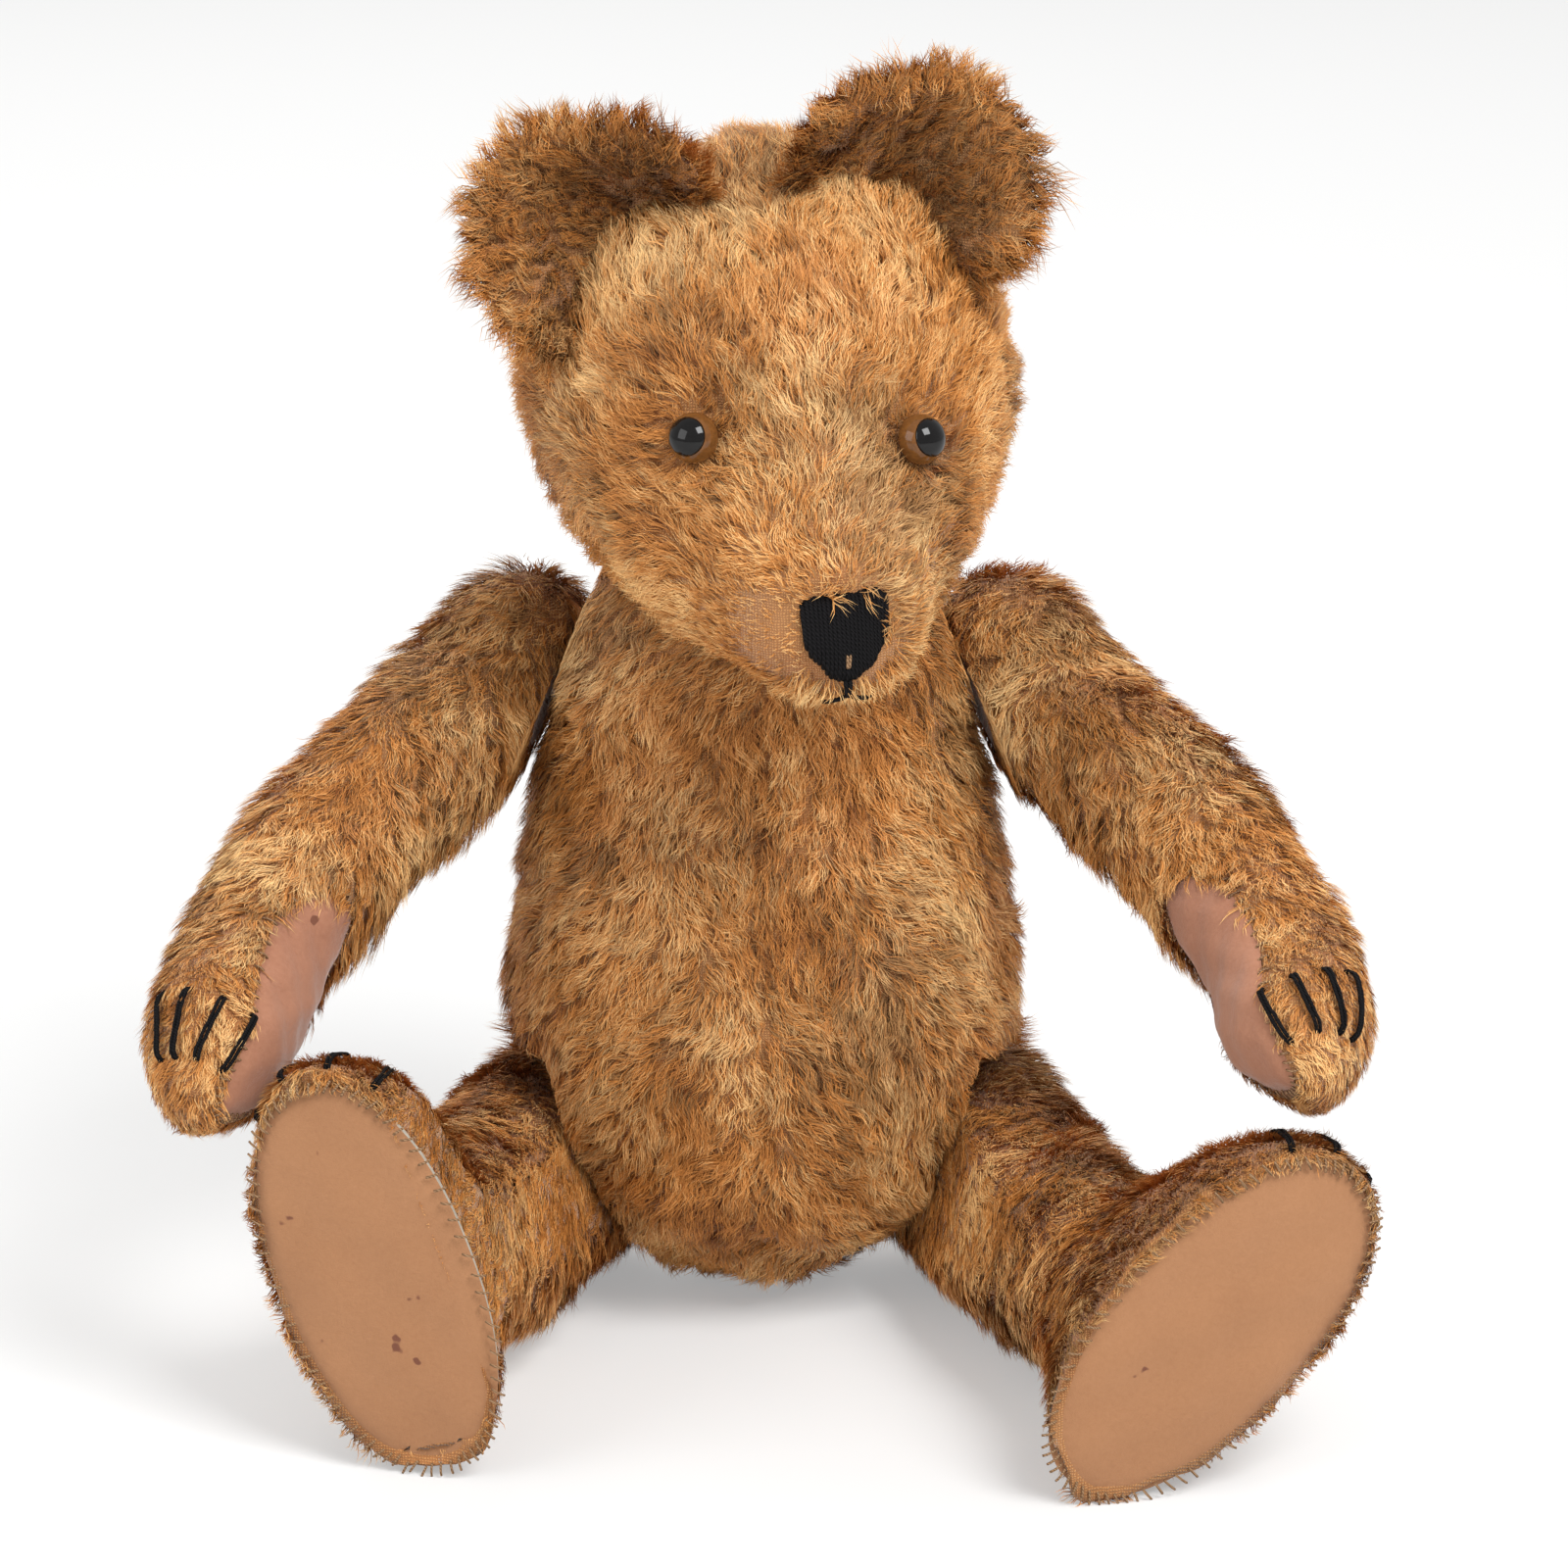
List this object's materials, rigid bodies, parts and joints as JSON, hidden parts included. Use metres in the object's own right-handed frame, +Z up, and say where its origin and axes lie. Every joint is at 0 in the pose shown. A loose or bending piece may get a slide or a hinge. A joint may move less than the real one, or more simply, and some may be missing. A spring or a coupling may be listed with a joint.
{
  "type": "jointed teddy bear",
  "caption": "Sitting jointed teddy bear in worn curly mohair, with felt pads, glass eyes, stitched nose and claws, and disc joints at neck, shoulders and hips.",
  "frame": {"origin": "on the seat plane, under the middle of the torso", "axes": "+Z up, the bear looks along -Y, +X to the bear's own left"},
  "size_m": [0.2709, 0.1857, 0.2956],
  "materials": {
    "fur": "golden brown mohair pile on a woven backing",
    "stuffing": "wood wool",
    "sole_felt": "dusty peach wool felt",
    "paw_felt": "pink brown wool felt, worn",
    "thread": "black embroidery thread",
    "eye_glass": "amber glass backed with brown",
    "pupil_glass": "black glass",
    "card": "grey-brown board",
    "board": "pressed hardboard",
    "steel": "dull wire and sheet"
  },
  "bodies": {
    "torso": {"torso_cover": "fur", "torso_stuffing": "stuffing", "neck_torso_disc": "board", "neck_torso_washer": "steel", "left_shoulder_torso_disc": "board", "left_shoulder_torso_washer": "steel", "right_shoulder_torso_disc": "board", "right_shoulder_torso_washer": "steel", "left_hip_torso_disc": "board", "left_hip_torso_washer": "steel", "right_hip_torso_disc": "board", "right_hip_torso_washer": "steel"},
    "head": {"head_cover": "fur", "head_stuffing": "stuffing", "left_ear": "fur", "right_ear": "fur", "left_eye": "eye_glass", "right_eye": "eye_glass", "left_pupil": "pupil_glass", "right_pupil": "pupil_glass", "nose": "thread", "mouth": "thread", "neck_head_disc": "board", "neck_head_washer": "steel", "neck_pin": "steel"},
    "left_arm": {"left_arm_cover": "fur", "left_arm_stuffing": "stuffing", "left_paw_pad": "paw_felt", "left_paw_claws": "thread", "left_shoulder_arm_disc": "board", "left_shoulder_arm_washer": "steel", "left_shoulder_pin": "steel"},
    "right_arm": {"right_arm_cover": "fur", "right_arm_stuffing": "stuffing", "right_paw_pad": "paw_felt", "right_paw_claws": "thread", "right_shoulder_arm_disc": "board", "right_shoulder_arm_washer": "steel", "right_shoulder_pin": "steel"},
    "left_leg": {"left_leg_cover": "fur", "left_leg_stuffing": "stuffing", "left_sole_pad": "sole_felt", "left_sole_card": "card", "left_foot_claws": "thread", "left_hip_leg_disc": "board", "left_hip_leg_washer": "steel", "left_hip_pin": "steel"},
    "right_leg": {"right_leg_cover": "fur", "right_leg_stuffing": "stuffing", "right_sole_pad": "sole_felt", "right_sole_card": "card", "right_foot_claws": "thread", "right_hip_leg_disc": "board", "right_hip_leg_washer": "steel", "right_hip_pin": "steel"}
  },
  "joints": [
    {"name": "neck_turn", "type": "hinge", "parent": "torso", "child": "head", "pos_m": [0, 0.006, 0.181], "axis": [0, 0.1392, -0.9903], "continuous": true},
    {"name": "left_shoulder_swing", "type": "hinge", "parent": "torso", "child": "left_arm", "pos_m": [0.04708, 0.004, 0.143], "axis": [0.9254, 0.1632, 0.342], "range_deg": [-70, 150]},
    {"name": "right_shoulder_swing", "type": "hinge", "parent": "torso", "child": "right_arm", "pos_m": [-0.04708, 0.004, 0.143], "axis": [-0.9254, 0.1632, 0.342], "range_deg": [-150, 70]},
    {"name": "left_hip_swing", "type": "hinge", "parent": "torso", "child": "left_leg", "pos_m": [0.031, 0.008, 0.03505], "axis": [0.9118, 0.2273, -0.342], "range_deg": [0, 115]},
    {"name": "right_hip_swing", "type": "hinge", "parent": "torso", "child": "right_leg", "pos_m": [-0.031, 0.008, 0.03505], "axis": [-0.9118, 0.2273, -0.342], "range_deg": [-115, 0]}
  ]
}
